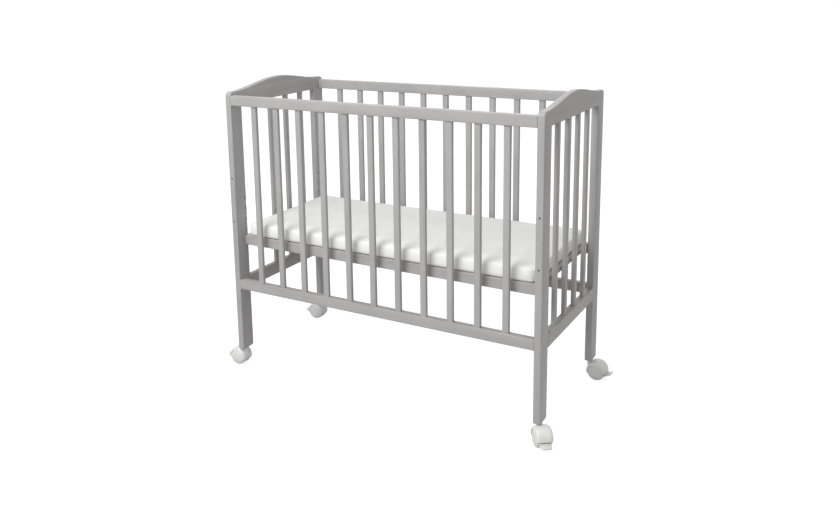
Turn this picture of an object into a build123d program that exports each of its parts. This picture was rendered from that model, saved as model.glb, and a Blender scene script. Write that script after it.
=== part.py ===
"""Bedside crib for a 90 x 40 cm mattress, on four braked twin-wheel casters.

Two end panels (posts, crest, rail and slats) carry a slatted front and rear side, which are
bolted on through the panels. A slatted base hangs on pins in a row of holes and carries the
mattress. Millimetres; the origin is on the floor, midway between the four legs; X runs along
the crib to the right, Y from the front to the rear, Z up.
"""

import os
from math import atan2, cos, radians, sin, tan

from build123d import *

os.makedirs("parts", exist_ok=True)

# Mattress and the room round it
mattress_length = 900
mattress_width = 400
mattress_side_height = 36
mattress_crown = 8
mattress_corner_radius = 22
mattress_waist = 4
mattress_top_roll = 15
mattress_bottom_roll = 6
mattress_end_room = 6
mattress_side_room = 7.5

# End panels
panel_thickness = 19
post_width = 47
crest_shoulder = 38
crest_crown = 62
crest_corner_radius = 12
crest_edge_break = 1.5
end_rail_height = 35.5
end_slat_count = 4

# Front and rear sides
rail_thickness = 20
rail_height = 28.5
rail_gap_height = 517.5
side_slat_count = 11
leg_height = 189
leg_corner_radius = 5
board_edge_break = 2

# Slats and their joints
slat_width = 18
slat_thickness = 11
slat_edge_break = 2.5
slat_tenon_width = 14
slat_tenon_thickness = 7
slat_tenon_length = 12
panel_tenon_thickness = 9
panel_tenon_length = 15
end_rail_tenon_height = 24
post_tenon_width = 18
post_tenon_inset = 4
glue_clearance = 0.1
mortise_floor_gap = 0.5

# Countersunk bolts that hold the sides, and their nuts
bolt_radius = 3
bolt_length = 58
bolt_head_radius = 5.5
bolt_head_angle = 90
bolt_socket_width = 4
bolt_socket_depth = 2.2
bolt_sink = 0.6
bolt_clearance = 0.3
nut_width = 13
nut_thickness = 6
nut_setback = 32
nut_slot_clearance = 0.3

# Slatted base and the pins that carry it
base_setback = 12
base_bar_thickness = 19
base_top = 404
base_slat_count = 12
base_slat_width = 40
base_slat_thickness = 12
base_ledge = 9
base_end_gap = 0.5
base_slat_gap = 0.5
pin_radius = 3
pin_below_top = 16
pin_in_post = 10
pin_in_bar = 9
pin_fit = 0.05
pin_slot_clearance = 0.25
pin_hole_pitch = 32
pin_holes_above = 4

# Holes in the front edges of the front posts for the fittings of a parent's bed
hook_hole_radius = 2.5
hook_hole_depth = 25
hook_hole_steps = (2, 6)

# Casters
caster_height = 58
caster_offset = 22
wheel_radius = 25
wheel_tread_width = 5.5
wheel_shoulder_width = 5.5
wheel_shoulder_drop = 4
wheel_cap_width = 5
wheel_cap_radius = 11
wheel_side_gap = 0.5
web_thickness = 13
web_radius = 23.5
web_bottom = 14
rib_radius = 22
axle_radius = 3
axle_wall = 3
running_clearance = 0.05
seat_clearance = 0.02
hood_clearance = 1
hood_wall = 2.4
hood_rear_angle = 12
hood_front_angle = 195
neck_radius = 7.5
neck_height = 24
stem_radius = 4
stem_below = 20
stem_above = 30
swivel_gap = 0.8
bore_floor_gap = 1

# Brake lever, pivoted in a slot of the caster's web
lever_pin_radius = 1.5
lever_pivot_reach = 20
lever_pivot_angle = -20
lever_eye_radius = 3.6
lever_tongue = 4.4
lever_slot_clearance = 0.2
lever_slot_top = 3
lever_shield_gap = 1.1
lever_shield_wall = 2.2
lever_shield_top = 7
lever_shield_bottom = -25
lever_shield_width = 31
lever_lip_reach = 44
lever_lip_root = -10
lever_lip_root_thickness = 5
lever_lip_tip = -1
lever_lip_thickness = 2.4
lever_lip_width = 28
lever_travel = 20

# Where each caster trails to, in degrees from +X, and how far its lever is pressed
caster_settings = {
    "left_front": (-1, -1, 180, 0),
    "left_rear": (-1, 1, 180, 0),
    "right_front": (1, -1, -52, lever_travel),
    "right_rear": (1, 1, 0, 0),
}

# Sizes that follow
inner_length = mattress_length + 2 * mattress_end_room
inner_depth = mattress_width + 2 * mattress_side_room
overall_depth = inner_depth + 2 * rail_thickness
panel_x = inner_length / 2 + panel_thickness / 2
post_y = overall_depth / 2 - post_width / 2
rail_y = overall_depth / 2 - rail_thickness / 2
bottom_rail_low = caster_height + leg_height
bottom_rail_top = bottom_rail_low + rail_height
top_rail_low = bottom_rail_top + rail_gap_height
end_rail_length = overall_depth - 2 * post_width
end_slat_pitch = (end_rail_length + slat_width) / (end_slat_count + 1)
side_slat_pitch = inner_length / (side_slat_count + 1)
mortise_depth = slat_tenon_length + mortise_floor_gap
panel_mortise_depth = panel_tenon_length + mortise_floor_gap
base_bar_y = inner_depth / 2 - base_setback - base_bar_thickness / 2
pin_z = base_top - pin_below_top
pin_levels = [pin_z + step * pin_hole_pitch for step in range(pin_holes_above + 1)]
nut_half = nut_width / 2 + nut_slot_clearance


def facing(x, y, z, direction):
    """A plane at a point, with its normal along the direction and its Y axis up where it can be."""
    normal = Vector(*direction)
    across = Vector(0, 0, 1).cross(normal)
    return Plane(origin=(x, y, z), x_dir=across if across.length > 0 else (1, 0, 0), z_dir=normal)


def keep(builder, name):
    """Labels a finished piece and writes its file."""
    builder.part.label = name
    export_step(builder.part, f"parts/{name}.step")


def bolt_plane(end, side, z):
    """Where a side bolt enters the outer face of an end panel."""
    return facing(end * (panel_x + panel_thickness / 2), side * rail_y, z, (end, 0, 0))


def bolt_recess():
    """The countersunk hole for a side bolt, right through an end panel."""
    CounterSinkHole(
        radius=bolt_radius + bolt_clearance,
        counter_sink_radius=bolt_head_radius + bolt_sink + seat_clearance,
        depth=panel_thickness,
        counter_sink_angle=bolt_head_angle,
    )


def eased_board(width, height, edge_break):
    """The section of a board whose four long edges are broken."""
    x, y = width / 2, height / 2
    flat_x, flat_y = x - edge_break, y - edge_break
    Polygon(
        (x, -flat_y),
        (x, flat_y),
        (flat_x, y),
        (-flat_x, y),
        (-x, flat_y),
        (-x, -flat_y),
        (-flat_x, -y),
        (flat_x, -y),
    )


# Posts, with a tenon for the crest on top and a mortise for the end rail
for post_name, (end, side, _, _) in caster_settings.items():
    post_x, edge_y = end * panel_x, side * (overall_depth / 2 - post_width)
    inner_x = end * inner_length / 2
    tenon_y = edge_y + side * (post_tenon_inset + post_tenon_width / 2)
    with BuildPart() as post:
        with BuildSketch(Plane.XY.offset(caster_height)):
            with Locations((post_x, side * post_y)):
                eased_board(panel_thickness, post_width, board_edge_break)
        extrude(amount=top_rail_low - caster_height)
        with BuildSketch(Plane.YZ.offset(post_x)) as leg_outline:
            with Locations((side * post_y, caster_height)):
                Rectangle(post_width, top_rail_low, align=(Align.CENTER, Align.MIN))
            fillet(leg_outline.vertices().group_by(Axis.Y)[0], leg_corner_radius)
        extrude(amount=panel_thickness / 2, both=True, mode=Mode.INTERSECT)
        with BuildSketch(Plane.XY.offset(top_rail_low)):
            with Locations((post_x, tenon_y)):
                Rectangle(panel_tenon_thickness, post_tenon_width)
        extrude(amount=panel_tenon_length)
        with BuildSketch(facing(post_x, edge_y, bottom_rail_top - end_rail_height / 2, (0, -side, 0))):
            Rectangle(
                panel_tenon_thickness + 2 * glue_clearance,
                end_rail_tenon_height + 2 * glue_clearance,
            )
        extrude(amount=-panel_mortise_depth, mode=Mode.SUBTRACT)
        with Locations(bolt_plane(end, side, bottom_rail_low + rail_height / 2)):
            bolt_recess()
        for level in pin_levels:
            with Locations(facing(inner_x, side * base_bar_y, level, (-end, 0, 0))):
                Hole(pin_radius + pin_fit, depth=pin_in_post + mortise_floor_gap)
        with Locations(facing(post_x, side * post_y, caster_height, (0, 0, -1))):
            Hole(stem_radius + seat_clearance, depth=stem_above + bore_floor_gap)
        if side < 0:
            for step in hook_hole_steps:
                hook_z = pin_z + step * pin_hole_pitch
                with Locations(facing(post_x, -overall_depth / 2, hook_z, (0, -1, 0))):
                    Hole(hook_hole_radius, depth=hook_hole_depth)
    keep(post, f"{post_name}_post")

# Crests, rails and slats of the two end panels
for end_name, end in {"left": -1, "right": 1}.items():
    crest_low, crest_x = top_rail_low, end * panel_x
    half_depth = overall_depth / 2
    with BuildPart() as crest:
        with BuildSketch(Plane.YZ.offset(crest_x - panel_thickness / 2)):
            with BuildLine():
                corner = half_depth - crest_corner_radius
                shoulder_z = crest_low + crest_shoulder
                crown = (0, crest_low + crest_crown)
                Spline((-corner, shoulder_z), crown, tangents=[(1, 0), (1, 0)])
                Spline(crown, (corner, shoulder_z), tangents=[(1, 0), (1, 0)])
                CenterArc((corner, shoulder_z - crest_corner_radius), crest_corner_radius, 0, 90)
                Polyline(
                    (half_depth, shoulder_z - crest_corner_radius),
                    (half_depth, crest_low),
                    (-half_depth, crest_low),
                    (-half_depth, shoulder_z - crest_corner_radius),
                )
                CenterArc((-corner, shoulder_z - crest_corner_radius), crest_corner_radius, 90, 90)
            make_face()
        extrude(amount=panel_thickness)
        flat_faces = crest.faces().filter_by(Axis.X)
        chamfer(
            [e for e in flat_faces.edges() if e.center().Z > crest_low + crest_edge_break],
            crest_edge_break,
        )
        with BuildSketch(Plane.XY.offset(crest_low)):
            with Locations((crest_x, 0)):
                with GridLocations(0, end_slat_pitch, 1, end_slat_count):
                    Rectangle(
                        slat_tenon_thickness + 2 * glue_clearance,
                        slat_tenon_width + 2 * glue_clearance,
                    )
        extrude(amount=mortise_depth, mode=Mode.SUBTRACT)
        tenon_y = half_depth - post_width + post_tenon_inset + post_tenon_width / 2
        with BuildSketch(Plane.XY.offset(crest_low)):
            with Locations((crest_x, -tenon_y), (crest_x, tenon_y)):
                Rectangle(
                    panel_tenon_thickness + 2 * glue_clearance,
                    post_tenon_width + 2 * glue_clearance,
                )
        extrude(amount=panel_mortise_depth, mode=Mode.SUBTRACT)
        for side in (-1, 1):
            with Locations(bolt_plane(end, side, top_rail_low + rail_height / 2)):
                bolt_recess()
    keep(crest, f"{end_name}_crest")

    end_rail_middle = bottom_rail_top - end_rail_height / 2
    with BuildPart() as end_rail:
        with BuildSketch(Plane.XZ.offset(-end_rail_length / 2)):
            with Locations((crest_x, end_rail_middle)):
                eased_board(panel_thickness, end_rail_height, board_edge_break)
        extrude(amount=end_rail_length)
        with BuildSketch(Plane.XZ.offset(-end_rail_length / 2 - panel_tenon_length)):
            with Locations((crest_x, end_rail_middle)):
                Rectangle(panel_tenon_thickness, end_rail_tenon_height)
        extrude(amount=end_rail_length + 2 * panel_tenon_length)
        with BuildSketch(Plane.XY.offset(bottom_rail_top)):
            with Locations((crest_x, 0)):
                with GridLocations(0, end_slat_pitch, 1, end_slat_count):
                    Rectangle(
                        slat_tenon_thickness + 2 * glue_clearance,
                        slat_tenon_width + 2 * glue_clearance,
                    )
        extrude(amount=-mortise_depth, mode=Mode.SUBTRACT)
    keep(end_rail, f"{end_name}_end_rail")

    for number in range(end_slat_count):
        slat_y = (number - (end_slat_count - 1) / 2) * end_slat_pitch
        with BuildPart() as end_slat:
            with BuildSketch(Plane.XY.offset(bottom_rail_top)):
                with Locations((crest_x, slat_y)):
                    eased_board(slat_thickness, slat_width, slat_edge_break)
            extrude(amount=rail_gap_height)
            with BuildSketch(Plane.XY.offset(bottom_rail_top - slat_tenon_length)):
                with Locations((crest_x, slat_y)):
                    Rectangle(slat_tenon_thickness, slat_tenon_width)
            extrude(amount=rail_gap_height + 2 * slat_tenon_length)
        keep(end_slat, f"{end_name}_end_slat_{number + 1}")

# Front and rear sides: two rails each, and eleven slats between them
for side_name, side in {"front": -1, "rear": 1}.items():
    for level_name, rail_low in {"top": top_rail_low, "bottom": bottom_rail_low}.items():
        mortised_z = rail_low if level_name == "top" else rail_low + rail_height
        into_rail = 1 if level_name == "top" else -1
        rail_middle = rail_low + rail_height / 2
        with BuildPart() as rail:
            with BuildSketch(Plane.YZ.offset(-inner_length / 2)):
                with Locations((side * rail_y, rail_middle)):
                    eased_board(rail_thickness, rail_height, board_edge_break)
            extrude(amount=inner_length)
            with BuildSketch(Plane.XY.offset(mortised_z)):
                with Locations((0, side * rail_y)):
                    with GridLocations(side_slat_pitch, 0, side_slat_count, 1):
                        Rectangle(
                            slat_tenon_width + 2 * glue_clearance,
                            slat_tenon_thickness + 2 * glue_clearance,
                        )
            extrude(amount=into_rail * mortise_depth, mode=Mode.SUBTRACT)
            for end in (-1, 1):
                bolt_reach = bolt_length - (panel_thickness - bolt_sink) + bore_floor_gap
                with Locations(facing(end * inner_length / 2, side * rail_y, rail_middle, (end, 0, 0))):
                    Hole(bolt_radius + bolt_clearance, depth=bolt_reach)
                nut_x = end * (inner_length / 2 - nut_setback)
                with BuildSketch(facing(nut_x, side * inner_depth / 2, rail_middle, (0, -side, 0))):
                    Rectangle(nut_thickness + 2 * nut_slot_clearance, 2 * nut_half)
                extrude(amount=-rail_thickness / 2 - nut_half, mode=Mode.SUBTRACT)
        keep(rail, f"{side_name}_{level_name}_rail")

    with BuildPart() as slats:
        with BuildSketch(Plane.XY.offset(bottom_rail_top)):
            with Locations((0, side * rail_y)):
                with GridLocations(side_slat_pitch, 0, side_slat_count, 1):
                    eased_board(slat_width, slat_thickness, slat_edge_break)
        extrude(amount=rail_gap_height)
        with BuildSketch(Plane.XY.offset(bottom_rail_top - slat_tenon_length)):
            with Locations((0, side * rail_y)):
                with GridLocations(side_slat_pitch, 0, side_slat_count, 1):
                    Rectangle(slat_tenon_width, slat_tenon_thickness)
        extrude(amount=rail_gap_height + 2 * slat_tenon_length)
    keep(slats, f"{side_name}_slats")

# Bolts through the end panels, and the square nuts let into the rails that they pull on
bolt_places = [
    (end, side, rail_low + rail_height / 2)
    for end in (-1, 1)
    for side in (-1, 1)
    for rail_low in (bottom_rail_low, top_rail_low)
]
with BuildPart() as side_bolts:
    for end, side, z in bolt_places:
        head_top = bolt_plane(end, side, z).offset(-bolt_sink)
        head_depth = (bolt_head_radius - bolt_radius) / tan(radians(bolt_head_angle / 2))
        into_wood = (Align.CENTER, Align.CENTER, Align.MAX)
        with Locations(head_top):
            Cone(bolt_radius, bolt_head_radius, head_depth, align=into_wood)
            Cylinder(bolt_radius, bolt_length, align=into_wood)
        with BuildSketch(head_top):
            RegularPolygon(bolt_socket_width / 2, 6, major_radius=False)
        extrude(amount=-bolt_socket_depth, mode=Mode.SUBTRACT)
keep(side_bolts, "side_bolts")

with BuildPart() as side_nuts:
    for end, side, z in bolt_places:
        nut_x = end * (inner_length / 2 - nut_setback)
        with BuildSketch(facing(nut_x, side * rail_y, z, (end, 0, 0)).offset(-nut_thickness / 2)):
            Rectangle(nut_width, nut_width)
            Circle(bolt_radius + seat_clearance, mode=Mode.SUBTRACT)
        extrude(amount=nut_thickness)
keep(side_nuts, "side_nuts")

# Slatted base: two bars with a ledge inside, slats across, and pins under the bar ends
base_length = inner_length - 2 * base_end_gap
slat_seat = base_top - base_slat_thickness
bar_inner = base_bar_y - base_bar_thickness / 2
for bar_name, side in {"front": -1, "rear": 1}.items():
    with BuildPart() as bar:
        with BuildSketch(Plane.YZ.offset(-base_length / 2)):
            with Locations((side * base_bar_y, base_top - rail_height / 2)):
                eased_board(base_bar_thickness, rail_height, board_edge_break)
            with Locations((side * (bar_inner + base_ledge / 2), base_top - base_slat_thickness / 2)):
                Rectangle(base_ledge, base_slat_thickness, mode=Mode.SUBTRACT)
        extrude(amount=base_length)
        for end in (-1, 1):
            slot_plane = facing(end * base_length / 2, side * base_bar_y, pin_z, (end, 0, 0))
            with BuildSketch(slot_plane):
                slot_radius = pin_radius + pin_slot_clearance
                Circle(slot_radius)
                with Locations((0, -rail_height / 2)):
                    Rectangle(2 * slot_radius, rail_height)
            extrude(amount=-(pin_in_bar + mortise_floor_gap), mode=Mode.SUBTRACT)
    keep(bar, f"base_{bar_name}_bar")

with BuildPart() as base_slats:
    slat_span = 2 * (bar_inner + base_ledge) - base_slat_gap
    slat_pitch = (base_length - base_slat_width) / (base_slat_count - 1)
    with BuildSketch(Plane.XY.offset(slat_seat)):
        with GridLocations(slat_pitch, 0, base_slat_count, 1):
            Rectangle(base_slat_width, slat_span)
    extrude(amount=base_slat_thickness)
keep(base_slats, "base_slats")

with BuildPart() as base_pins:
    for end in (-1, 1):
        for side in (-1, 1):
            pin_plane = facing(end * inner_length / 2, side * base_bar_y, pin_z, (end, 0, 0))
            with BuildSketch(pin_plane.offset(-pin_in_bar)):
                Circle(pin_radius)
            extrude(amount=pin_in_bar + pin_in_post)
keep(base_pins, "base_pins")

# Mattress: sides drawn in between the corners, rolled edges and a crowned top
mattress_top = base_top + mattress_side_height
with BuildPart() as mattress:
    half_length, half_width = mattress_length / 2, mattress_width / 2
    with BuildSketch(Plane.XY.offset(base_top)) as outline:
        with BuildLine():
            corners = [
                (-half_length, -half_width),
                (half_length, -half_width),
                (half_length, half_width),
                (-half_length, half_width),
            ]
            middles = [
                (0, -half_width + mattress_waist),
                (half_length - mattress_waist, 0),
                (0, half_width - mattress_waist),
                (-half_length + mattress_waist, 0),
            ]
            for number in range(4):
                ThreePointArc(corners[number], middles[number], corners[(number + 1) % 4])
        make_face()
        fillet(outline.vertices(), mattress_corner_radius)
    extrude(amount=mattress_side_height + mattress_crown)
    for profile_plane, half_span, depth in (
        (Plane.XZ, half_length, half_width),
        (Plane.YZ, half_width, half_length),
    ):
        with BuildSketch(profile_plane) as profile:
            with BuildLine():
                ThreePointArc(
                    (-half_span, mattress_top),
                    (0, mattress_top + mattress_crown),
                    (half_span, mattress_top),
                )
                Polyline(
                    (half_span, mattress_top),
                    (half_span, base_top),
                    (-half_span, base_top),
                    (-half_span, mattress_top),
                )
            make_face()
            upper = profile.vertices().group_by(Axis.Y)[-1]
            lower = profile.vertices().group_by(Axis.Y)[0]
            fillet(upper, mattress_top_roll)
            fillet(lower, mattress_bottom_roll)
        extrude(amount=depth, both=True, mode=Mode.INTERSECT)
keep(mattress, "mattress")

# Casters
wheel_inner = web_thickness / 2 + wheel_side_gap
tread_edge = wheel_inner + wheel_tread_width
shoulder_edge = tread_edge + wheel_shoulder_width
shoulder_radius = wheel_radius - wheel_shoulder_drop
shoulder_slope = atan2(wheel_shoulder_drop, wheel_shoulder_width)
axle_half = shoulder_edge + wheel_cap_width - axle_wall
housing_top = caster_height - swivel_gap
pivot_x = lever_pivot_reach * cos(radians(lever_pivot_angle))
pivot_z = lever_pivot_reach * sin(radians(lever_pivot_angle))


def hood_points(gap):
    """Half of the wheel's outline, set out by a gap: the tread's edge and the shoulder's edge."""
    return [
        (tread_edge + gap * tan(shoulder_slope / 2), wheel_radius + gap),
        (shoulder_edge + gap * sin(shoulder_slope), shoulder_radius + gap * cos(shoulder_slope)),
    ]


def section_plane(side_plane, angle):
    """The plane through the axle at an angle above the trailing direction: X along the axle."""
    outward = side_plane.x_dir * cos(radians(angle)) + side_plane.y_dir * sin(radians(angle))
    return Plane(side_plane.origin, x_dir=side_plane.z_dir, z_dir=side_plane.z_dir.cross(outward))


def make_housing(side_plane, stem_plane):
    """Neck for the stem, hood, web between the wheels, and the lever's slot with its pin."""
    axle_axis = Axis(side_plane.origin, side_plane.z_dir)
    inner, outer = hood_points(hood_clearance), hood_points(hood_clearance + hood_wall)
    web_half = web_thickness / 2
    with BuildPart() as housing:
        with BuildSketch(stem_plane.offset(housing_top)):
            Circle(neck_radius)
        extrude(amount=-neck_height)
        with BuildSketch(section_plane(side_plane, 0)):
            with BuildLine():
                wheel_room = [(web_half, 0), (web_half, wheel_radius + hood_clearance), *inner]
                Polyline(*wheel_room, (inner[-1][0], 0), close=True)
            make_face()
            mirror(about=Plane.YZ)
        revolve(axis=axle_axis, mode=Mode.SUBTRACT)
        with BuildSketch(section_plane(side_plane, hood_rear_angle)):
            with BuildLine():
                Polyline(
                    (0, rib_radius),
                    (web_half, rib_radius),
                    (web_half, wheel_radius + hood_clearance),
                    *inner,
                    *reversed(outer),
                    (0, outer[0][1]),
                    close=True,
                )
            make_face()
            mirror(about=Plane.YZ)
        revolve(axis=axle_axis, revolution_arc=hood_front_angle - hood_rear_angle)
        with BuildSketch(side_plane):
            Circle(web_radius)
            with Locations((0, -web_bottom)):
                Rectangle(
                    2 * web_radius,
                    web_radius,
                    align=(Align.CENTER, Align.MAX),
                    mode=Mode.SUBTRACT,
                )
        extrude(amount=web_half, both=True)
        with Locations(stem_plane.offset(housing_top)):
            Hole(stem_radius + running_clearance, depth=stem_below + bore_floor_gap)
        with BuildSketch(side_plane):
            Circle(axle_radius + seat_clearance)
        extrude(amount=web_half, both=True, mode=Mode.SUBTRACT)
        with BuildSketch(side_plane):
            with Locations((lever_pivot_reach - 2 * lever_eye_radius, lever_slot_top)):
                Rectangle(web_radius, 2 * web_radius, align=(Align.MIN, Align.MAX))
        extrude(amount=lever_tongue / 2 + lever_slot_clearance, both=True, mode=Mode.SUBTRACT)
        with BuildSketch(side_plane):
            with Locations((pivot_x, pivot_z)):
                Circle(lever_pin_radius)
        extrude(amount=web_half, both=True)
    return housing


def make_wheel(side_plane, hand):
    """One wheel: tread, sloping shoulder and closed cap, with a blind bore for the axle."""
    with BuildPart() as wheel:
        with BuildSketch(section_plane(side_plane, 0)):
            with BuildLine():
                Polyline(
                    (hand * wheel_inner, 0),
                    (hand * wheel_inner, wheel_radius),
                    (hand * tread_edge, wheel_radius),
                    (hand * shoulder_edge, shoulder_radius),
                    (hand * (shoulder_edge + wheel_cap_width), wheel_cap_radius),
                    (hand * (shoulder_edge + wheel_cap_width), 0),
                    close=True,
                )
            make_face()
        revolve(axis=Axis(side_plane.origin, side_plane.z_dir))
        with BuildSketch(side_plane):
            Circle(axle_radius + running_clearance)
        extrude(amount=hand * (axle_half + running_clearance), mode=Mode.SUBTRACT)
    return wheel


def make_lever(side_plane, pressed):
    """Brake lever: tongue with its eye, shield over the treads and a lip for the toe."""
    pivot = side_plane.location * Location((pivot_x, pivot_z, 0), (0, 0, -pressed))
    lever_plane = Plane(pivot * Location((-pivot_x, -pivot_z, 0)))
    shield_in = wheel_radius + lever_shield_gap
    shield_out = shield_in + lever_shield_wall
    shield_sweep = lever_shield_top - lever_shield_bottom
    with BuildPart() as lever:
        with BuildSketch(lever_plane) as shield_section:
            with BuildLine():
                inner_arc = CenterArc((0, 0), shield_in, lever_shield_bottom, shield_sweep)
                outer_arc = CenterArc((0, 0), shield_out, lever_shield_bottom, shield_sweep)
                Line(inner_arc @ 0, outer_arc @ 0)
                Line(inner_arc @ 1, outer_arc @ 1)
            make_face()
        extrude(amount=lever_shield_width / 2, both=True)
        with BuildSketch(lever_plane):
            add(shield_section.sketch_local)
            with Locations((pivot_x, pivot_z)):
                Circle(lever_eye_radius)
            make_hull()
        extrude(amount=lever_tongue / 2, both=True)
        with BuildSketch(lever_plane):
            with BuildLine():
                lip_start = (shield_in + shield_out) / 2
                Polyline(
                    (lip_start, lever_lip_root),
                    (lever_lip_reach, lever_lip_tip),
                    (lever_lip_reach, lever_lip_tip + lever_lip_thickness),
                    (lip_start, lever_lip_root + lever_lip_root_thickness),
                    close=True,
                )
            make_face()
        extrude(amount=lever_lip_width / 2, both=True)
        with BuildSketch(lever_plane):
            with Locations((pivot_x, pivot_z)):
                Circle(lever_pin_radius + running_clearance)
        extrude(amount=lever_tongue, both=True, mode=Mode.SUBTRACT)
    return lever


for corner_name, (end, side, yaw, pressed) in caster_settings.items():
    trail = Vector(cos(radians(yaw)), sin(radians(yaw)), 0)
    stem_point = Vector(end * panel_x, side * post_y, 0)
    stem_plane = Plane(stem_point)
    axle_point = stem_point + trail * caster_offset + Vector(0, 0, wheel_radius)
    side_plane = Plane(axle_point, x_dir=trail, z_dir=trail.cross(Vector(0, 0, 1)))

    keep(make_housing(side_plane, stem_plane), f"{corner_name}_caster_housing")
    for number, hand in enumerate((-1, 1)):
        keep(make_wheel(side_plane, hand), f"{corner_name}_caster_wheel_{number + 1}")
    keep(make_lever(side_plane, pressed), f"{corner_name}_brake_lever")

    with BuildPart() as axle:
        with BuildSketch(side_plane):
            Circle(axle_radius)
        extrude(amount=axle_half, both=True)
    keep(axle, f"{corner_name}_caster_axle")

    with BuildPart() as stem:
        with BuildSketch(stem_plane.offset(housing_top - stem_below)):
            Circle(stem_radius)
        extrude(amount=stem_below + swivel_gap + stem_above)
    keep(stem, f"{corner_name}_caster_stem")
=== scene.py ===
"""The bedside crib, dressed: lacquered wood, a padded mattress, moulded casters and steel bolts.

Metres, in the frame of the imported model: the floor is z = 0, the front side faces -Y. Sizes and
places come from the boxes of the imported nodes, and the few that are named here are details.
"""

from math import cos, exp, pi, radians, sin, sqrt

import bmesh
import bpy
from mathutils import Matrix, Vector


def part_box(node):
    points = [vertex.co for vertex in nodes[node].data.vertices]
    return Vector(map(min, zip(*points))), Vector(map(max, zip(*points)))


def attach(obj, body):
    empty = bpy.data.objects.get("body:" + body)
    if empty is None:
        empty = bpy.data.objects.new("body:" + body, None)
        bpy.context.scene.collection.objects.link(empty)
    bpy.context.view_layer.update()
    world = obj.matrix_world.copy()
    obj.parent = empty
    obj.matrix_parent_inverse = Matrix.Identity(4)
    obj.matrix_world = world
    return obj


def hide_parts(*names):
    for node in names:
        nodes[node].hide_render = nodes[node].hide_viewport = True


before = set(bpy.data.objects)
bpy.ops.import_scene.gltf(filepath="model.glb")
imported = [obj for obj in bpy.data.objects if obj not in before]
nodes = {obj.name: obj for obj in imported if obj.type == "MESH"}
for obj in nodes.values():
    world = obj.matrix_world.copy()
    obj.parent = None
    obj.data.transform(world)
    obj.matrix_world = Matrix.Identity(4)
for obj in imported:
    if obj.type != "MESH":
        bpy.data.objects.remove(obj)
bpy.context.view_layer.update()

MM = 0.001

# Camera, as the corners in the photograph place it
camera_place = Vector((1145.5, -2069.9, 1130.0)) * MM
camera_azimuth = 31.092
camera_elevation = 11.134
camera_roll = -1.145
camera_lens = 36.708
camera_shift = (0.0476, -0.1333)

# Wood
board_radius = 2.2 * MM
slat_radius = 3.2 * MM
end_grain_radius = 0.4 * MM
leg_corner = 5 * MM
leg_tip = 2.5 * MM
slat_half_width = 9 * MM
side_slats = 11
end_slats = 4
crest_corner = 12 * MM
crest_rim = 2.5 * MM
crest_shoulder = 38 * MM
crest_corner_steps = 8
crown_steps = 64

# Holes, bolts and pins
bolt_head_radius = 5.5 * MM
bolt_sink = 0.6 * MM
bolt_shank_radius = 3 * MM
bolt_length = 58 * MM
bolt_hole_radius = 3.2 * MM
bolt_hole_depth = 12 * MM
bolt_steps = 36
bolt_socket_width = 4 * MM
bolt_socket_depth = 2.4 * MM
hook_hole_radius = 2.5 * MM
hook_hole_depth = 20 * MM
pin_hole_radius = 3 * MM
pin_hole_depth = 8 * MM
pin_hole_pitch = 32 * MM
pin_below_top = 16 * MM
pin_holes_above = 4
hook_hole_steps = (2, 6)

# Mattress
cloth_mesh = 6 * MM
crown_room = 8 * MM
cover_inset = 2 * MM
cover_corner = 22 * MM
cover_top_roll = 7 * MM
cover_bottom_roll = 3 * MM
cover_pressure = 4
cover_stiffness = 20
cover_bending = 2
swell_frames = 20
swell_limit = 4 * MM
seam_below_top = 10 * MM
seam_width = 2.0 * MM
seam_depth = 0.9 * MM

# Casters: the end and side each one stands at, and the angle in degrees that it trails to
wheel_radius = 25 * MM
caster_offset = 22 * MM
caster_settings = {
    "left_front": (-1, -1, 180),
    "left_rear": (-1, 1, 180),
    "right_front": (1, -1, -52),
    "right_rear": (1, 1, 0),
}
pressed_brakes = {"right_front": 20}

# Studio
floor_reach = 30.0
floor_grey = 0.45
floor_lift = 0.8
ambient_level = 0.55


def socket_values(shader, values):
    """Sets the constants of a shader."""
    for name, value in values.items():
        shader.inputs[name].default_value = value


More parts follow.
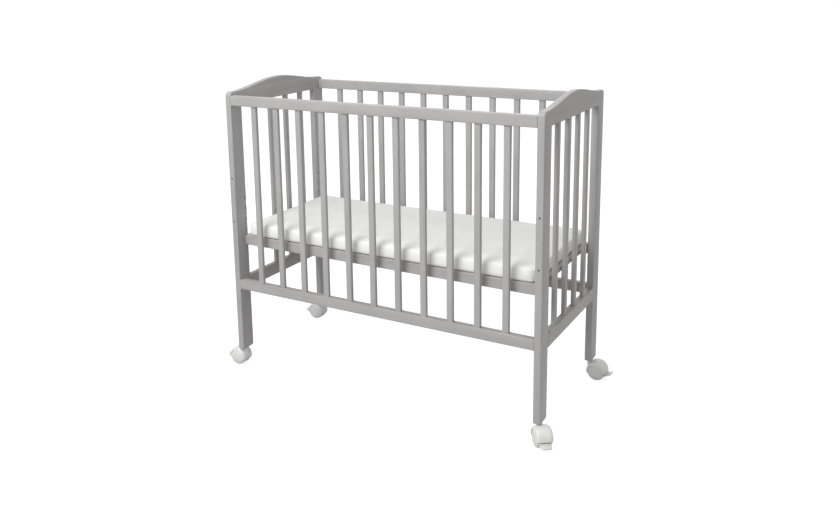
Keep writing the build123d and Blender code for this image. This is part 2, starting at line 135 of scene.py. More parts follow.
class Nodes:
    """A material's node tree, with short calls for the nodes used here."""

    def __init__(self, name, values):
        self.material = bpy.data.materials.new(name)
        self.material.use_nodes = True
        self.tree = self.material.node_tree
        self.shader = self.tree.nodes["Principled BSDF"]
        socket_values(self.shader, values)
        self.place = self.add("ShaderNodeTexCoord").outputs["Object"]

    def add(self, kind, **settings):
        node = self.tree.nodes.new(kind)
        for name, value in settings.items():
            setattr(node, name, value)
        return node

    def link(self, start, end):
        self.tree.links.new(start, end)

    def scaled(self, scale):
        """The place on the object, stretched by a scale for each axis."""
        mapping = self.add("ShaderNodeMapping")
        mapping.inputs["Scale"].default_value = scale
        self.link(self.place, mapping.inputs["Vector"])
        return mapping.outputs["Vector"]

    def noise(self, scale, detail=3.0, roughness=0.5, stretch=(1, 1, 1)):
        node = self.add("ShaderNodeTexNoise")
        socket_values(node, {"Scale": scale, "Detail": detail, "Roughness": roughness})
        self.link(self.scaled(stretch), node.inputs["Vector"])
        return node.outputs["Fac"]

    def wave(self, axis, scale, distortion=0.0):
        node = self.add("ShaderNodeTexWave", bands_direction=axis)
        socket_values(node, {"Scale": scale, "Distortion": distortion})
        self.link(self.place, node.inputs["Vector"])
        return node.outputs["Fac"]

    def spread(self, value, low, high, start=0.0, end=1.0):
        """A value from start to end, spread over low to high."""
        node = self.add("ShaderNodeMapRange")
        settings = {"From Min": start, "From Max": end, "To Min": low, "To Max": high}
        socket_values(node, settings)
        self.link(value, node.inputs["Value"])
        return node.outputs["Result"]

    def math(self, operation, first, second):
        node = self.add("ShaderNodeMath", operation=operation)
        for socket, value in zip(node.inputs, (first, second)):
            if isinstance(value, float):
                socket.default_value = value
            else:
                self.link(value, socket)
        return node.outputs["Value"]

    def tones(self, value, stops):
        """Colours along a value: (place, colour) pairs."""
        ramp = self.add("ShaderNodeValToRGB")
        while len(ramp.color_ramp.elements) < len(stops):
            ramp.color_ramp.elements.new(0.5)
        for element, (place, colour) in zip(ramp.color_ramp.elements, stops):
            element.position = place
            element.color = (*colour, 1)
        self.link(value, ramp.inputs["Fac"])
        self.link(ramp.outputs["Color"], self.shader.inputs["Base Color"])

    def bump(self, height, distance, strength=1.0):
        node = self.add("ShaderNodeBump")
        socket_values(node, {"Distance": distance, "Strength": strength})
        self.link(height, node.inputs["Height"])
        self.link(node.outputs["Normal"], self.shader.inputs["Normal"])

    def roughness(self, value):
        self.link(value, self.shader.inputs["Roughness"])


def linear(*srgb):
    """A colour written as 0 to 255."""
    return tuple(((c / 255 + 0.055) / 1.055) ** 2.4 for c in srgb)


def lacquered_wood(grain):
    """Grey lacquer over fine grain that runs along one axis."""
    along = tuple(0.045 if axis == grain else 1.0 for axis in "XYZ")
    wood = Nodes(f"lacquered_wood_{grain.lower()}", {"Specular IOR Level": 0.4})
    streaks = wood.noise(260.0, 4.0, 0.62, along)
    bands = wood.noise(34.0, 2.0, 0.5, along)
    blotches = wood.noise(9.0, 2.0, 0.5)
    tone = wood.math("MULTIPLY", streaks, 0.34)
    tone = wood.math("ADD", tone, wood.math("MULTIPLY", bands, 0.38))
    tone = wood.math("ADD", tone, wood.math("MULTIPLY", blotches, 0.28))
    wood.tones(
        tone,
        [
            (0.30, linear(158, 157, 155)),
            (0.46, linear(174, 173, 171)),
            (0.60, linear(181, 180, 178)),
            (0.76, linear(189, 188, 185)),
        ],
    )
    wood.roughness(wood.spread(streaks, 0.42, 0.56, 0.3, 0.7))
    wood.bump(streaks, 0.00025, 0.5)
    return wood.material


def mattress_cloth():
    """Off-white woven cotton, with the slight unevenness of a quilted cover."""
    values = {"Roughness": 0.92, "Sheen Weight": 0.12, "Sheen Roughness": 0.5}
    cloth = Nodes("mattress_cloth", values)
    blotches = cloth.noise(14.0, 3.0, 0.55)
    warp = cloth.wave("X", 260.0, 0.6)
    weft = cloth.wave("Y", 260.0, 0.6)
    rise = cloth.wave("Z", 260.0, 0.6)
    weave = cloth.math("ADD", warp, cloth.math("ADD", weft, rise))
    threads = cloth.math("MULTIPLY", weave, 0.12)
    tone = cloth.math("ADD", blotches, threads)
    cloth.tones(
        tone,
        [
            (0.35, linear(243, 243, 242)),
            (0.62, linear(248, 248, 247)),
            (0.85, linear(251, 251, 250)),
        ],
    )
    cloth.bump(weave, 0.0001, 0.35)
    return cloth.material


def moulded_plastic(name, dark, light, roughness):
    """Plastic from a mould with a fine spark texture and a slight flow in its tone."""
    plastic = Nodes(name, {"Specular IOR Level": 0.5})
    flow = plastic.noise(35.0, 2.0)
    grit = plastic.noise(2600.0, 2.0)
    plastic.tones(flow, [(0.3, linear(*dark)), (0.7, linear(*light))])
    plastic.roughness(plastic.spread(grit, roughness - 0.06, roughness + 0.08, 0.3, 0.7))
    plastic.bump(grit, 0.00005, 0.5)
    return plastic.material


def zinc_steel():
    """Zinc-plated steel, slightly clouded."""
    steel = Nodes("zinc_steel", {"Metallic": 1.0})
    cloud = steel.noise(420.0, 3.0)
    steel.tones(cloud, [(0.3, linear(150, 151, 152)), (0.7, linear(186, 187, 188))])
    steel.roughness(steel.spread(cloud, 0.28, 0.46, 0.3, 0.7))
    steel.bump(cloud, 0.00004, 0.4)
    return steel.material


wood_along = {axis: lacquered_wood(axis) for axis in "XYZ"}
cloth = mattress_cloth()
caster_plastic = moulded_plastic("caster_plastic", (229, 229, 226), (236, 236, 233), 0.36)
wheel_plastic = moulded_plastic("wheel_plastic", (224, 224, 221), (232, 232, 229), 0.42)
steel = zinc_steel()


def piece(name, mesh, material, body, replaced=(), sharp=40):
    """A finished piece of the object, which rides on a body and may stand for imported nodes."""
    mesh.name = name
    obj = bpy.data.objects.new(name, mesh)
    bpy.context.scene.collection.objects.link(obj)
    mesh.materials.clear()
    mesh.materials.append(material)
    mesh.polygons.foreach_set("use_smooth", [True] * len(mesh.polygons))
    mesh.set_sharp_from_angle(angle=radians(sharp))
    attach(obj, body)
    if replaced:
        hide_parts(*replaced)
    return obj


def from_bmesh(bm):
    """A mesh datablock made of a bmesh, which ends there."""
    bmesh.ops.recalc_face_normals(bm, faces=bm.faces[:])
    mesh = bpy.data.meshes.new("mesh")
    bm.to_mesh(mesh)
    bm.free()
    return mesh


def lathe(profile, axis, side, centre, steps=96):
    """Turns a profile of (along the axis, radius) pairs about an axis; side is angle zero."""
    bm = bmesh.new()
    up = axis.cross(side)
    rings = []
    for step in range(steps):
        turn = 2 * pi * step / steps
        outward = side * cos(turn) + up * sin(turn)
        rings.append([bm.verts.new(centre + axis * a + outward * r) for a, r in profile])
    for here, there in zip(rings, rings[1:] + rings[:1]):
        for k in range(len(profile) - 1):
            bm.faces.new((here[k], here[k + 1], there[k + 1], there[k]))
    bmesh.ops.remove_doubles(bm, verts=bm.verts[:], dist=1e-6)
    return bm


def add_bmesh(target, source):
    """Adds one bmesh to another."""
    mesh = from_bmesh(source)
    target.from_mesh(mesh)
    bpy.data.meshes.remove(mesh)


def joined(*sources):
    """One bmesh of several."""
    whole = bmesh.new()
    for source in sources:
        add_bmesh(whole, source)
    return whole


def block(low, high):
    """A box between two corners."""
    bm = bmesh.new()
    size = high - low
    place = Matrix.Translation((low + high) / 2) @ Matrix.Diagonal((*size, 1))
    bmesh.ops.create_cube(bm, size=1, matrix=place)
    return bm


def round_edges(bm, chosen, radius, segments):
    """Rounds the chosen edges of a bmesh."""
    bmesh.ops.bevel(
        bm,
        geom=chosen,
        offset=radius,
        segments=segments,
        profile=0.5,
        affect="EDGES",
        clamp_overlap=True,
    )


def edge_along(edge, axis):
    """Whether an edge runs along an axis."""
    span = edge.verts[1].co - edge.verts[0].co
    return abs(span[axis]) > 0.99 * span.length


def board(low, high, grain, radius=board_radius):
    """A board with rounded long edges and barely broken ends."""
    axis = "XYZ".index(grain)
    bm = block(low, high)
    round_edges(bm, [e for e in bm.edges if edge_along(e, axis)], radius, 4)
    ends = [f for f in bm.faces if abs(f.normal[axis]) > 0.99]
    round_edges(bm, list({e for f in ends for e in f.edges}), end_grain_radius, 1)
    return bm


def drilled(mesh, holes):
    """The mesh with round holes: (mouth, direction inwards, radius, depth, head radius)."""
    cutter = bmesh.new()
    above = 2 * MM
    for mouth, inwards, radius, depth, head in holes:
        side = inwards.orthogonal().normalized()
        profile = [(-above, 0), (-above, radius)]
        if head > radius:
            profile = [(-above, 0), (-above, head + above), (head - radius, radius)]
        profile += [(depth, radius), (depth, 0)]
        add_bmesh(cutter, lathe(profile, inwards, side, mouth, steps=32))
    body = bpy.data.objects.new("drilled", mesh)
    tool = bpy.data.objects.new("drill", from_bmesh(cutter))
    for obj in (body, tool):
        bpy.context.scene.collection.objects.link(obj)
    cut = body.modifiers.new("holes", "BOOLEAN")
    cut.operation = "DIFFERENCE"
    cut.solver = "EXACT"
    cut.object = tool
    evaluated = body.evaluated_get(bpy.context.evaluated_depsgraph_get())
    result = bpy.data.meshes.new_from_object(evaluated)
    for obj in (body, tool):
        data = obj.data
        bpy.data.objects.remove(obj)
        bpy.data.meshes.remove(data)
    return result


# Posts: rounded boards with rounded feet, and the holes that are drilled in them
overall_low, overall_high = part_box("left_crest")[0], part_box("right_crest")[1]
half_depth = overall_high.y
base_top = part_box("base_front_bar")[1].z
pin_z = base_top - pin_below_top
bolt_levels = {
    level: sum(c.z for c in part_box(f"front_{level}_rail")) / 2 for level in ("top", "bottom")
}
bolt_y = {
    side: sum(c.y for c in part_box(f"{name}_top_rail")) / 2
    for name, side in {"front": -1, "rear": 1}.items()
}


def bolt_hole(end, side, level):
    """Where a side bolt's countersunk hole enters the outer face of an end panel."""
    outer_x = overall_high.x if end > 0 else overall_low.x
    mouth = Vector((outer_x, bolt_y[side], bolt_levels[level]))
    inwards = Vector((-end, 0, 0))
    return mouth, inwards, bolt_hole_radius, bolt_hole_depth, bolt_head_radius + bolt_sink


def dressed(name):
    """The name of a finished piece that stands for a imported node."""
    return f"dressed_{name}"


def side_rims(bm):
    """The edges between the two broad faces, across X, and the narrow ones."""
    return [e for e in bm.edges if len({round(abs(f.normal.x)) for f in e.link_faces}) == 2]


def wooden(name, mesh, grain):
    """A piece of the frame in lacquered wood."""
    piece(dressed(name), mesh, wood_along[grain], "frame", [name])


for corner, (end, side, _) in caster_settings.items():
    low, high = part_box(f"{corner}_post")
    low, high = Vector(low), Vector(high)
    high.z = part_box("left_crest")[0].z
    low.z -= leg_tip
    bar_y = sum(c.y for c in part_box(f"base_{'front' if side < 0 else 'rear'}_bar")) / 2
    inner_x = low.x if end > 0 else high.x
    post = block(low, high)
    feet = [e for e in post.edges if edge_along(e, 0) and e.verts[0].co.z < low.z + MM]
    round_edges(post, feet, leg_corner, 5)
    rims = [e for e in side_rims(post) if not all(v.co.z > high.z - MM for v in e.verts)]
    round_edges(post, rims, board_radius, 4)
    holes = [bolt_hole(end, side, "bottom")]
    for step in range(pin_holes_above + 1):
        mouth = Vector((inner_x, bar_y, pin_z + step * pin_hole_pitch))
        holes.append((mouth, Vector((end, 0, 0)), pin_hole_radius, pin_hole_depth, pin_hole_radius))
    if side < 0:
        for step in hook_hole_steps:
            mouth = Vector(((low.x + high.x) / 2, low.y, pin_z + step * pin_hole_pitch))
            direction = Vector((0, 1, 0))
            holes.append((mouth, direction, hook_hole_radius, hook_hole_depth, hook_hole_radius))
    wooden(f"{corner}_post", drilled(from_bmesh(post), holes), "Z")


def crest_outline(bottom, crown):
    """The crest from its broad side: (y, z) pairs round a crown between rounded shoulders."""
    shoulder = bottom + crest_shoulder
    corner_y = half_depth - crest_corner

    def rounded(centre, first):
        turns = [radians(first + 90 * k / crest_corner_steps) for k in range(crest_corner_steps + 1)]
        drops = [shoulder - crest_corner * (1 - sin(t)) for t in turns]
        return [(centre + crest_corner * cos(t), z) for t, z in zip(turns, drops)]

    outline = [(-half_depth, bottom), (half_depth, bottom), *rounded(corner_y, 0)]
    for step in range(1, crown_steps):
        along = 1 - 2 * step / crown_steps
        rise = 1 - abs(along)
        smooth = rise * rise * (3 - 2 * rise)
        outline.append((corner_y * along, shoulder + (crown - shoulder) * smooth))
    return outline + rounded(-corner_y, 90)


# End panels: crest, bottom rail and slats
for end_name, end in {"left": -1, "right": 1}.items():
    name = f"{end_name}_crest"
    low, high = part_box(name)
    crest = bmesh.new()
    outline = crest_outline(low.z, high.z)
    face = crest.faces.new([crest.verts.new((low.x, y, z)) for y, z in outline])
    grown = bmesh.ops.extrude_face_region(crest, geom=[face])
    moved = [v for v in grown["geom"] if isinstance(v, bmesh.types.BMVert)]
    bmesh.ops.translate(crest, verts=moved, vec=(high.x - low.x, 0, 0))
    bmesh.ops.recalc_face_normals(crest, faces=crest.faces[:])
    rims = [e for e in side_rims(crest) if not all(v.co.z < low.z + 0.1 * MM for v in e.verts)]
    round_edges(crest, rims, crest_rim, 4)
    mesh = drilled(from_bmesh(crest), [bolt_hole(end, side, "top") for side in (-1, 1)])
    wooden(name, mesh, "Y")

    name = f"{end_name}_end_rail"
    low, high = (Vector(c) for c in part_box(name))
    post_low, post_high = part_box("left_front_post")
    high.y = half_depth - (post_high.y - post_low.y)
    low.y = -high.y
    wooden(name, from_bmesh(board(low, high, "Y")), "Y")
    for number in range(1, end_slats + 1):
        name = f"{end_name}_end_slat_{number}"
        wooden(name, from_bmesh(board(*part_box(name), "Z", slat_radius)), "Z")

# Front and rear sides: two rails and a row of slats each
for side_name in ("front", "rear"):
    for level in ("top", "bottom"):
        name = f"{side_name}_{level}_rail"
        wooden(name, from_bmesh(board(*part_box(name), "X")), "X")
    name = f"{side_name}_slats"
    low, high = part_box(name)
    rail_low, rail_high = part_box(f"{side_name}_top_rail")
    pitch = (rail_high.x - rail_low.x) / (side_slats + 1)
    row = []
    for number in range(1, side_slats + 1):
        centre = rail_low.x + number * pitch
        slat_low = Vector((centre - slat_half_width, low.y, low.z))
        slat_high = Vector((centre + slat_half_width, high.y, high.z))
        row.append(board(slat_low, slat_high, "Z", slat_radius))
    wooden(name, from_bmesh(joined(*row)), "Z")


def hex_bolt(mouth, inwards):
    """A countersunk bolt's head with a hexagon socket, and its shank."""
    side = inwards.orthogonal().normalized()
    rim = bolt_head_radius
    profile = [
        (bolt_sink, rim - 0.5 * MM),
        (bolt_sink + 0.2 * MM, rim - 0.1 * MM),
        (bolt_sink + 0.5 * MM, rim),
        (bolt_sink + 2.8 * MM, bolt_shank_radius),
        (bolt_length, bolt_shank_radius),
        (bolt_length, 0),
    ]
    bolt = lathe(profile, inwards, side, mouth, bolt_steps)
    up = inwards.cross(side)
    circle, hexagon, floor = [], [], []
    for step in range(bolt_steps):
        turn = 2 * pi * step / bolt_steps
        outward = side * cos(turn) + up * sin(turn)
        sector = (turn + pi / 6) % (pi / 3) - pi / 6
        reach = bolt_socket_width / 2 / cos(sector)
        circle.append(bolt.verts.new(mouth + inwards * bolt_sink + outward * (rim - 0.5 * MM)))
        hexagon.append(bolt.verts.new(mouth + inwards * bolt_sink + outward * reach))
        deep = inwards * (bolt_sink + bolt_socket_depth)
        floor.append(bolt.verts.new(mouth + deep + outward * reach))
    for ring, following in ((circle, hexagon), (hexagon, floor)):
        for k in range(bolt_steps):
            n = (k + 1) % bolt_steps
            bolt.faces.new((ring[k], ring[n], following[n], following[k]))
    bolt.faces.new(floor)
    bmesh.ops.remove_doubles(bolt, verts=bolt.verts[:], dist=1e-6)
    return bolt


bolts = [
    hex_bolt(*bolt_hole(end, side, level)[:2])
    for end in (-1, 1)
    for side in (-1, 1)
    for level in ("top", "bottom")
]
mesh = from_bmesh(joined(*bolts))
piece(dressed("side_bolts"), mesh, steel, "frame", ["side_bolts"], sharp=30)

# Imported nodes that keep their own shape
kept = {
    "base_front_bar": wood_along["X"],
    "base_rear_bar": wood_along["X"],
    "base_slats": wood_along["Y"],
    "base_pins": steel,
    "side_nuts": steel,
}
for corner in caster_settings:
    kept[f"{corner}_caster_stem"] = steel
    kept[f"{corner}_caster_axle"] = steel
for name, material in kept.items():
    nodes[name].data.materials.clear()
    nodes[name].data.materials.append(material)

# Mattress: a cloth cover swollen by its pad, with a seam round its upper edge
low, high = (Vector(c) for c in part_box("mattress"))
top_inset = Vector((cover_inset, cover_inset, crown_room))
shell = block(low + Vector((cover_inset, cover_inset, 0)), high - top_inset)
round_edges(shell, [e for e in shell.edges if edge_along(e, 2)], cover_corner, 5)
for level, roll, steps in ((high.z - top_inset.z, cover_top_roll, 4), (low.z, cover_bottom_roll, 2)):
    rim = [e for e in shell.edges if all(abs(v.co.z - level) < 0.1 * MM for v in e.verts)]
    round_edges(shell, rim, roll, steps)
pad = bpy.data.objects.new("pad", from_bmesh(shell))
bpy.context.scene.collection.objects.link(pad)
remesh = pad.modifiers.new("remesh", "REMESH")
remesh.mode = "VOXEL"
remesh.voxel_size = cloth_mesh
start = bpy.data.meshes.new_from_object(pad.evaluated_get(bpy.context.evaluated_depsgraph_get()))
pad.modifiers.clear()
pad.data = start
rest_places = [v.co.copy() for v in start.vertices]
swell = pad.modifiers.new("swell", "CLOTH")
swell.settings.quality = 5
swell.settings.use_pressure = True
swell.settings.uniform_pressure_force = cover_pressure
swell.settings.effector_weights.gravity = 0
swell.settings.tension_stiffness = cover_stiffness
swell.settings.compression_stiffness = cover_stiffness
swell.settings.bending_stiffness = cover_bending
for number in range(1, swell_frames + 1):
    bpy.context.scene.frame_set(number)
swollen = pad.evaluated_get(bpy.context.evaluated_depsgraph_get()).to_mesh()
places = [v.co.copy() for v in swollen.vertices]
bpy.context.scene.frame_set(1)
pad.modifiers.clear()
for vertex, rest, place in zip(pad.data.vertices, rest_places, places):
    move = place - rest
    if move.length > swell_limit:
        move *= swell_limit / move.length
    co = rest + move
    co.z = max(co.z, low.z)
    vertex.co = co
smooth = pad.modifiers.new("smooth", "SUBSURF")
smooth.levels = smooth.render_levels = 1
cover = bpy.data.meshes.new_from_object(pad.evaluated_get(bpy.context.evaluated_depsgraph_get()))
bpy.data.objects.remove(pad)
seam_z = high.z - top_inset.z - seam_below_top
for vertex in cover.vertices:
    off = (vertex.co.z - seam_z) / seam_width
    if abs(off) < 3 and abs(vertex.normal.z) < 0.9:
        inwards = Vector((vertex.normal.x, vertex.normal.y, 0))
        vertex.co -= inwards * seam_depth * exp(-off * off)
    vertex.co.z = max(vertex.co.z, low.z)
name = "mattress"
mattress = piece(dressed(name), cover, cloth, name, [name], sharp=80)


def smooth_curve(points, steps=6):
    """Points on a smooth curve through the given ones, straight ends included."""
    padded = [points[0], *points, points[-1]]
    curve = []
    for before, here, there, after in zip(padded, padded[1:], padded[2:], padded[3:]):
        before, here, there, after = (Vector(p) for p in (before, here, there, after))
        for step in range(steps):
            t = step / steps
            curve.append(
                0.5
                * (
                    2 * here
                    + (there - before) * t
                    + (2 * before - 5 * here + 4 * there - after) * t * t
                    + (3 * here - before - 3 * there + after) * t * t * t
                )
            )
    return [tuple(p) for p in curve] + [tuple(points[-1])]


def loft(rings):
    """A closed skin over rings of equally many points."""
    bm = bmesh.new()
    rows = [[bm.verts.new(p) for p in ring] for ring in rings]
    count = len(rows[0])
    for here, there in zip(rows, rows[1:]):
        for k in range(count):
            n = (k + 1) % count
            bm.faces.new((here[k], here[n], there[n], there[k]))
    bm.faces.new(rows[0])
    bm.faces.new(reversed(rows[-1]))
    return bm


def slab(outline, place, half_width, rounding=0.8 * MM):
    """An outline in a caster's side plane, given width across and rounded edges."""
    bm = bmesh.new()
    face = bm.faces.new([bm.verts.new(place(u, -half_width, w)) for u, w in outline])
    grown = bmesh.ops.extrude_face_region(bm, geom=[face])
    moved = [v for v in grown["geom"] if isinstance(v, bmesh.types.BMVert)]
    across = place(0, half_width, 0) - place(0, -half_width, 0)
    bmesh.ops.translate(bm, verts=moved, vec=across)
    bmesh.ops.recalc_face_normals(bm, faces=bm.faces[:])
    axis = across.normalized()
    rims = [e for e in bm.edges if len({abs(f.normal.dot(axis)) > 0.5 for f in e.link_faces}) == 2]
    round_edges(bm, rims, rounding, 3)
    return bm


def side_point(angle, radius):
    """A point of a caster's side plane, by its angle from the trail."""
    return radius * cos(radians(angle)), radius * sin(radians(angle))


# Casters: domed wheels, a hood with rolled edges, and the brake lever.
# Wheel and hood are (across from the middle, radius) pairs in millimetres, and side outlines are
# (along the trail, up) pairs from the axle.
bore = [(20.5, 0.0), (20.5, 3.2), (7.0, 3.2)]
tread = [(7.0, 24.3), (7.2, 24.8), (7.7, 25.0), (12.4, 25.0)]
dome = [(13.5, 24.95), (15.8, 24.6), (18.0, 23.6), (19.6, 21.8), (20.7, 19.4), (21.4, 16.8)]
ring = [(21.5, 15.9), (21.6, 15.4), (21.9, 14.6)]
cap = [(22.2, 13.2), (22.8, 9.0), (23.0, 4.5), (22.9, 2.6), (22.6, 1.8), (22.5, 0.0)]
wheel_profile = bore + tread + smooth_curve(dome, 3) + ring + smooth_curve(cap, 3)
wheel_steps = 120

hood_start, hood_end = -1, 195
hood_steps = 80
hood_outer = [(0, 28.9), (9, 28.9), (13.5, 28.5), (17.0, 27.4), (19.6, 25.6), (21.2, 23.2)]
hood_rim = [(21.5, 22.0), (21.1, 21.6), (20.7, 22.0)]
hood_inner = [(20.3, 23.0), (18.9, 24.9), (16.6, 26.1), (13.0, 26.4), (0, 26.4)]

web_radius = 23.5
cheek_outline = [side_point(t, web_radius) for t in range(-36, 217, 6)]
cheek_middle, cheek_half_width = 4.65, 1.85
slot_outline = [side_point(t, web_radius) for t in range(24, 217, 6)]
slot_outline += [(12.5, -13.8), (12.5, 1.5), (20.5, 4.5)]
slot_half_width = 2.9
neck_profile = [(0, 0), (0, 6.6), (0.3, 7.2), (0.9, 7.5), (22, 7.5), (23.4, 6.8), (24, 5.5), (24, 0)]
wheel_room_radius, wheel_room_width = 26.3 * MM, 60 * MM

lever_pivot = side_point(-20, 20)
eye_radius = 3.6
shield_radii = (26.1, 28.3)
shield_span = (-25, -1.8)
shield_half_width = 15.5 * MM
tongue_half_width = 2.2 * MM
lip_root, lip_length, lip_steps = 26.8, 17.2, 12
lip_half_width = 14
lip_top, lip_rise = -4.6, 5.8
lip_thickness, lip_thinning = 5.6, 1.8


def in_mm(outline):
    """An outline that was written in millimetres."""
    return [(u * MM, w * MM) for u, w in outline]


def caster_hood(axle, trail, across, upward):
    """The hood's skin: one section, carried round the axle, with its ends thinned."""
    first, last = hood_start + 1.2, hood_end - 1.2
    stations = [(hood_start, 0.6), (hood_start + 0.4, 0.2), (first, 0.0)]
    stations += [(first + (last - first) * k / hood_steps, 0.0) for k in range(1, hood_steps + 1)]
    stations += [(hood_end - 0.4, 0.2), (hood_end, 0.6)]
    rings = []
    for angle, thinned in stations:
        half = [(a, r - thinned) for a, r in smooth_curve(hood_outer, 3)] + hood_rim
        half += [(a, r + thinned) for a, r in smooth_curve(hood_inner, 3)]
        section = half + [(-a, r) for a, r in reversed(half)][1:-1]
        outward = trail * cos(radians(angle)) + upward * sin(radians(angle))
        rings.append([axle + across * a * MM + outward * r * MM for a, r in section])
    return loft(rings)


def caster_webs(place):
    """The plate between the wheels: two cheeks, and a middle that leaves a slot for the lever."""
    webs = []
    for outline, middle, half_width in (
        (cheek_outline, -cheek_middle, cheek_half_width),
        (cheek_outline, cheek_middle, cheek_half_width),
        (slot_outline, 0.0, slot_half_width),
    ):

        def shifted(u, v, w, middle=middle):
            return place(u, v + middle * MM, w)

        webs.append(slab(in_mm(outline), shifted, half_width * MM, 0.1 * MM))
    return webs


def lever_lip(place):
    """The lip that a foot presses: a flat rounded section that rises and thins to its end."""
    rings = []
    for step in range(lip_steps + 1):
        t = step / lip_steps
        end_rounding = sqrt(max(1 - max(t - 0.86, 0) ** 2 / 0.021, 0.05))
        half_width = lip_half_width * MM * (1 - 0.16 * t**3) * end_rounding
        thick = (lip_thickness - lip_thinning * t) * MM * (1 - 0.5 * max(t - 0.9, 0) / 0.1)
        points = []
        for k in range(24):
            c, s = cos(2 * pi * k / 24), sin(2 * pi * k / 24)
            flat = 1 / (abs(c) ** 5 + abs(s) ** 5) ** 0.2
            w = (lip_top + lip_rise * t) * MM - thick / 2 + thick / 2 * s * flat
            points.append(place((lip_root + lip_length * t) * MM, half_width * c * flat, w))
        rings.append(points)
    return loft(rings)


def brake_lever(place):
    """A shield below the hood's edge, a tongue to the pivot, and the lip."""
    low_r, high_r = shield_radii
    angles = [shield_span[0] + (shield_span[1] - shield_span[0]) * k / 12 for k in range(13)]
    shield = [side_point(t, low_r) for t in angles]
    shield += [side_point(t, high_r) for t in reversed(angles)]
    tongue = []
    for k in range(11):
        u, w = side_point(90 + 18 * k, eye_radius)
        tongue.append((lever_pivot[0] + u, lever_pivot[1] + w))
    for t in angles[:-1]:
        u, w = side_point(t, low_r)
        tongue.append((u + 0.4, w))
    return joined(
        slab(in_mm(shield), place, shield_half_width),
        slab(in_mm(tongue), place, tongue_half_width, 0.3 * MM),
        lever_lip(place),
    )


for corner, (_, _, yaw) in caster_settings.items():
    stem_low, stem_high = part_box(f"{corner}_caster_stem")
    stem_point = Vector(((stem_low.x + stem_high.x) / 2, (stem_low.y + stem_high.y) / 2, 0))
    trail = Vector((cos(radians(yaw)), sin(radians(yaw)), 0))
    upward = Vector((0, 0, 1))
    across = trail.cross(upward)
    axle = stem_point + trail * caster_offset + upward * wheel_radius

    def in_side_plane(u, v, w):
        """A place from the axle: along the trail, across and up."""
        return axle + trail * u + across * v + upward * w

    for number, hand in ((1, -1), (2, 1)):
        profile = [(hand * a * MM, r * MM) for a, r in wheel_profile]
        mesh = from_bmesh(lathe(profile, across, trail, axle, wheel_steps))
        name = f"{corner}_caster_wheel_{number}"
        piece(dressed(name), mesh, wheel_plastic, f"{corner}_wheel_{number}", [name])

    name = f"{corner}_caster_housing"
    top = Vector((stem_point.x, stem_point.y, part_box(name)[1].z))
    neck = lathe(in_mm(neck_profile), -upward, trail, top, 48)
    room = (axle - across * 30 * MM, across, wheel_room_radius, wheel_room_width, wheel_room_radius)
    neck_mesh = drilled(from_bmesh(neck), [room])
    housing = joined(caster_hood(axle, trail, across, upward), *caster_webs(in_side_plane))
    housing.from_mesh(neck_mesh)
    bpy.data.meshes.remove(neck_mesh)
    mesh = from_bmesh(housing)
    piece(dressed(name), mesh, caster_plastic, f"{corner}_caster", [name])

    pressed = radians(pressed_brakes.get(corner, 0))

    def on_lever(u, v, w):
        """A place on the lever, turned about its pivot as far as it is pressed."""
        pivot_u, pivot_w = lever_pivot[0] * MM, lever_pivot[1] * MM
        du, dw = u - pivot_u, w - pivot_w
        turned_u = pivot_u + du * cos(pressed) + dw * sin(pressed)
        turned_w = pivot_w - du * sin(pressed) + dw * cos(pressed)
        return in_side_plane(turned_u, v, turned_w)

    name = f"{corner}_brake_lever"
    mesh = from_bmesh(brake_lever(on_lever))
    piece(dressed(name), mesh, caster_plastic, f"{corner}_lever", [name])


def seen_by(tree, *rays):
    """One for the given kinds of ray, and zero for the others."""
    path = tree.nodes.new("ShaderNodeLightPath")
    seen = path.outputs[rays[0]]
    for ray in rays[1:]:
        either = tree.nodes.new("ShaderNodeMath")
        either.operation = "MAXIMUM"
        tree.links.new(seen, either.inputs[0])
        tree.links.new(path.outputs[ray], either.inputs[1])
        seen = either.outputs[0]
    return seen


# Floor: it takes shadows, and looks as bright as the background
floor_mesh = bpy.data.meshes.new("floor")
corners = [(x * floor_reach, y * floor_reach, 0) for x, y in ((-1, -1), (1, -1), (1, 1), (-1, 1))]
floor_mesh.from_pydata(corners, [], [(0, 1, 2, 3)])
floor_obj = bpy.data.objects.new("studio_floor", floor_mesh)
bpy.context.scene.collection.objects.link(floor_obj)
paper = bpy.data.materials.new("studio_floor")
paper.use_nodes = True
tree = paper.node_tree
tree.nodes.clear()
output = tree.nodes.new("ShaderNodeOutputMaterial")
diffuse = tree.nodes.new("ShaderNodeBsdfDiffuse")
diffuse.inputs["Color"].default_value = (floor_grey, floor_grey, floor_grey, 1)
glow = tree.nodes.new("ShaderNodeEmission")
lift = tree.nodes.new("ShaderNodeMath")
lift.operation = "MULTIPLY"
lift.inputs[1].default_value = floor_lift
both = tree.nodes.new("ShaderNodeAddShader")
tree.links.new(seen_by(tree, "Is Camera Ray", "Is Glossy Ray"), lift.inputs[0])
tree.links.new(lift.outputs[0], glow.inputs["Strength"])
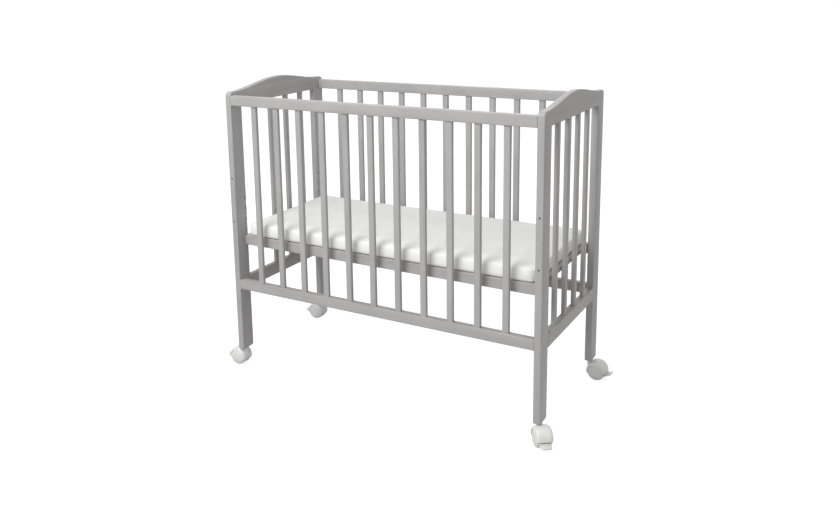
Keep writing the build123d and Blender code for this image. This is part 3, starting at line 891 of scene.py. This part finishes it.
tree.links.new(diffuse.outputs[0], both.inputs[0])
tree.links.new(glow.outputs[0], both.inputs[1])
tree.links.new(both.outputs[0], output.inputs["Surface"])
floor_mesh.materials.append(paper)

# World: white where it is seen, softer where it only lights
world = bpy.data.worlds.new("studio")
bpy.context.scene.world = world
world.use_nodes = True
tree = world.node_tree
background = tree.nodes["Background"]
background.inputs["Color"].default_value = (1, 1, 1, 1)
level = tree.nodes.new("ShaderNodeMapRange")
level.inputs["To Min"].default_value = ambient_level
level.inputs["To Max"].default_value = 1.0
seen = seen_by(tree, "Is Camera Ray", "Is Glossy Ray", "Is Transmission Ray")
tree.links.new(seen, level.inputs["Value"])
tree.links.new(level.outputs["Result"], background.inputs["Strength"])


def soft_lamp(name, place, aim, size, power):
    """A square lamp that looks at a point."""
    lamp = bpy.data.lights.new(name, "AREA")
    lamp.size = size
    lamp.energy = power
    obj = bpy.data.objects.new(name, lamp)
    obj.location = place
    obj.rotation_mode = "QUATERNION"
    obj.rotation_quaternion = (Vector(aim) - Vector(place)).to_track_quat("-Z", "Y")
    obj.visible_camera = False
    bpy.context.scene.collection.objects.link(obj)


soft_lamp("key", (-0.5, -2.5, 2.6), (0, 0, 0.5), 1.7, 69)
soft_lamp("fill", (-1.2, 3.0, 1.6), (0, 0, 0.5), 2.0, 16)

# Camera
camera_data = bpy.data.cameras.new("camera")
camera_data.lens = camera_lens
camera_data.shift_x, camera_data.shift_y = camera_shift
camera = bpy.data.objects.new("camera", camera_data)
a, e, r = (radians(v) for v in (camera_azimuth, camera_elevation, camera_roll))
back = Vector((sin(a) * cos(e), -cos(a) * cos(e), sin(e)))
level_right = Vector((cos(a), sin(a), 0))
level_up = back.cross(level_right)
right = level_right * cos(r) + level_up * sin(r)
up = level_up * cos(r) - level_right * sin(r)
turn = Matrix((right, up, back)).transposed().to_4x4()
camera.matrix_world = Matrix.Translation(camera_place) @ turn
bpy.context.scene.collection.objects.link(camera)
bpy.context.scene.camera = camera
bpy.context.scene.view_settings.view_transform = "Standard"
